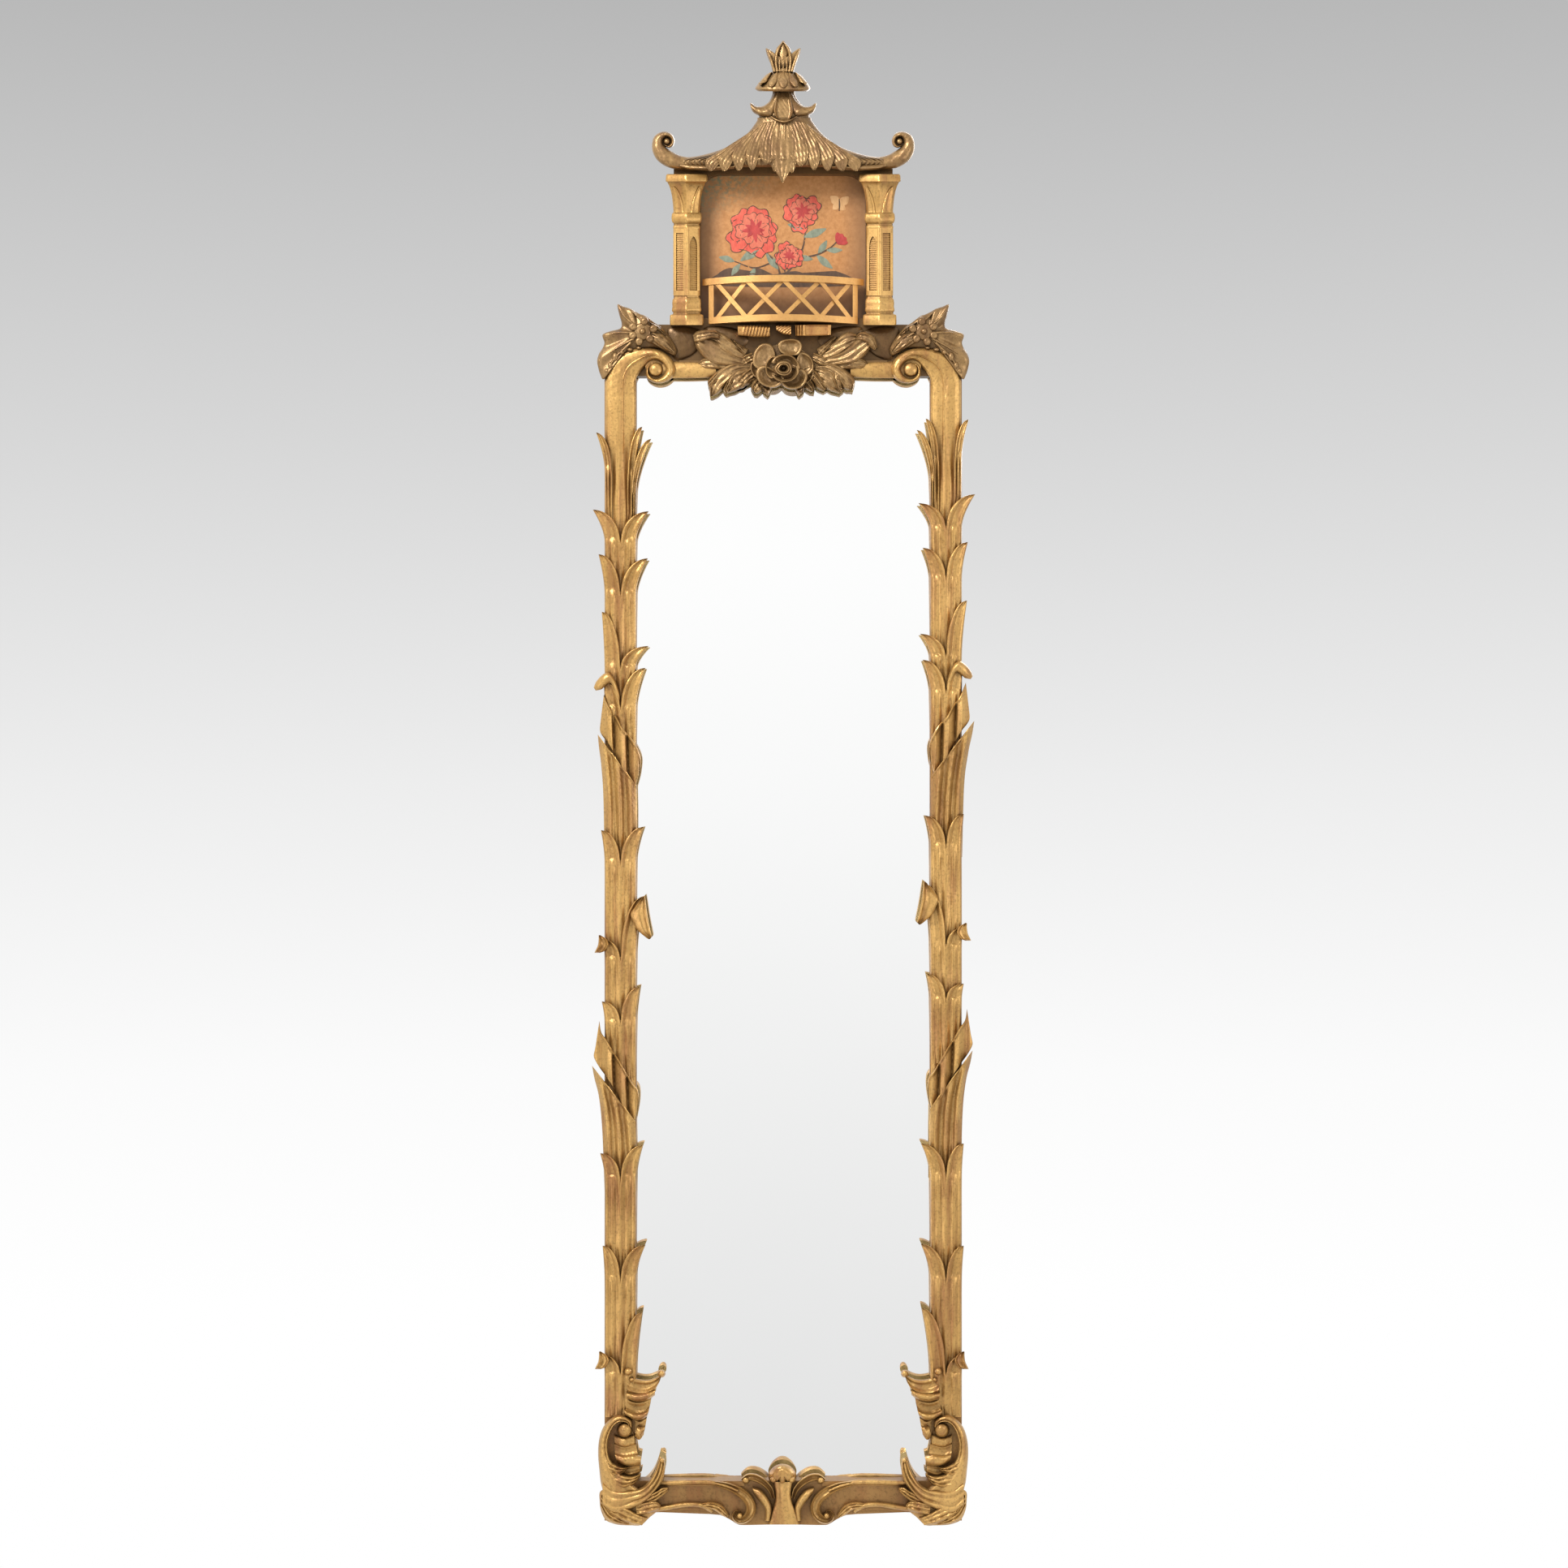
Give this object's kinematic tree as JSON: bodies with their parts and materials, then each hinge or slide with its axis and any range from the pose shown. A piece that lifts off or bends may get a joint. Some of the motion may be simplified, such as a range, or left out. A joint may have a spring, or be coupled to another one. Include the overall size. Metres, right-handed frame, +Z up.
{
  "type": "pier mirror",
  "caption": "Tall narrow wall mirror in a carved gilt palm-trunk frame, with a pagoda crest over a painted panel and hanger rings behind.",
  "frame": {"origin": "middle of the bottom rail's back face, on the wall plane", "axes": "+Z up, +Y into the wall, so the front faces -Y; +X to the viewer's right"},
  "size_m": [0.411, 0.0596, 1.6004],
  "materials": {
    "gilding": "antique water gilding over reddish bole, satin",
    "aged_gilding": "gilding under a brown umber glaze",
    "bright_gilding": "bright gilding, satin",
    "mirror": "silvered plate glass",
    "backboard": "plain plywood",
    "pine": "sawn pine",
    "painted_panel": "painted, low sheen",
    "brass": "aged",
    "steel": "zinc plated"
  },
  "bodies": {
    "frame": {"back_lattice": "bright_gilding", "backboard": "backboard", "backboard_screws": "brass", "balcony_ledge": "gilding", "batten_screws": "brass", "bottom_cartouche": "gilding", "bottom_rail": "gilding", "crest_board": "aged_gilding", "finial_crown": "aged_gilding", "finial_dome": "aged_gilding", "front_lattice": "bright_gilding", "hanger_screws": "brass", "left_capital": "aged_gilding", "left_cartouche_scroll": "gilding", "left_column": "aged_gilding", "left_corner_flower": "gilding", "left_corner_leaves": "gilding", "left_corner_scroll": "gilding", "left_crest_batten": "pine", "left_eave_scroll": "aged_gilding", "left_foot_leaves": "gilding", "left_foot_scroll": "gilding", "left_hanger_strap": "steel", "left_lower_palm": "gilding", "left_middle_palm": "gilding", "left_rose_leaves": "gilding", "left_shell_stack": "gilding", "left_stile": "gilding", "left_upper_palm": "gilding", "mirror_glass": "mirror", "pagoda_roof": "aged_gilding", "painted_panel": "painted_panel", "panel_backing": "backboard", "railing_foot_rail": "bright_gilding", "railing_posts": "bright_gilding", "railing_top_rail": "bright_gilding", "right_capital": "aged_gilding", "right_cartouche_scroll": "gilding", "right_column": "aged_gilding", "right_corner_flower": "gilding", "right_corner_leaves": "gilding", "right_corner_scroll": "gilding", "right_crest_batten": "pine", "right_eave_scroll": "aged_gilding", "right_foot_leaves": "gilding", "right_foot_scroll": "gilding", "right_hanger_strap": "steel", "right_lower_palm": "gilding", "right_middle_palm": "gilding", "right_rose_leaves": "gilding", "right_shell_stack": "gilding", "right_stile": "gilding", "right_upper_palm": "gilding", "roof_tier": "aged_gilding", "rose": "gilding", "stone_blocks": "gilding", "top_rail": "gilding"},
    "left_ring": {"left_hanger_ring": "steel"},
    "right_ring": {"right_hanger_ring": "steel"}
  },
  "joints": [
    {"name": "left_ring_swing", "type": "hinge", "parent": "frame", "child": "left_ring", "pos_m": [-0.135, -0.00442, 1.252], "axis": [1, 0, 0], "range_deg": [0, 180]},
    {"name": "right_ring_swing", "type": "hinge", "parent": "frame", "child": "right_ring", "pos_m": [0.135, -0.00442, 1.252], "axis": [1, 0, 0], "range_deg": [0, 180]}
  ]
}
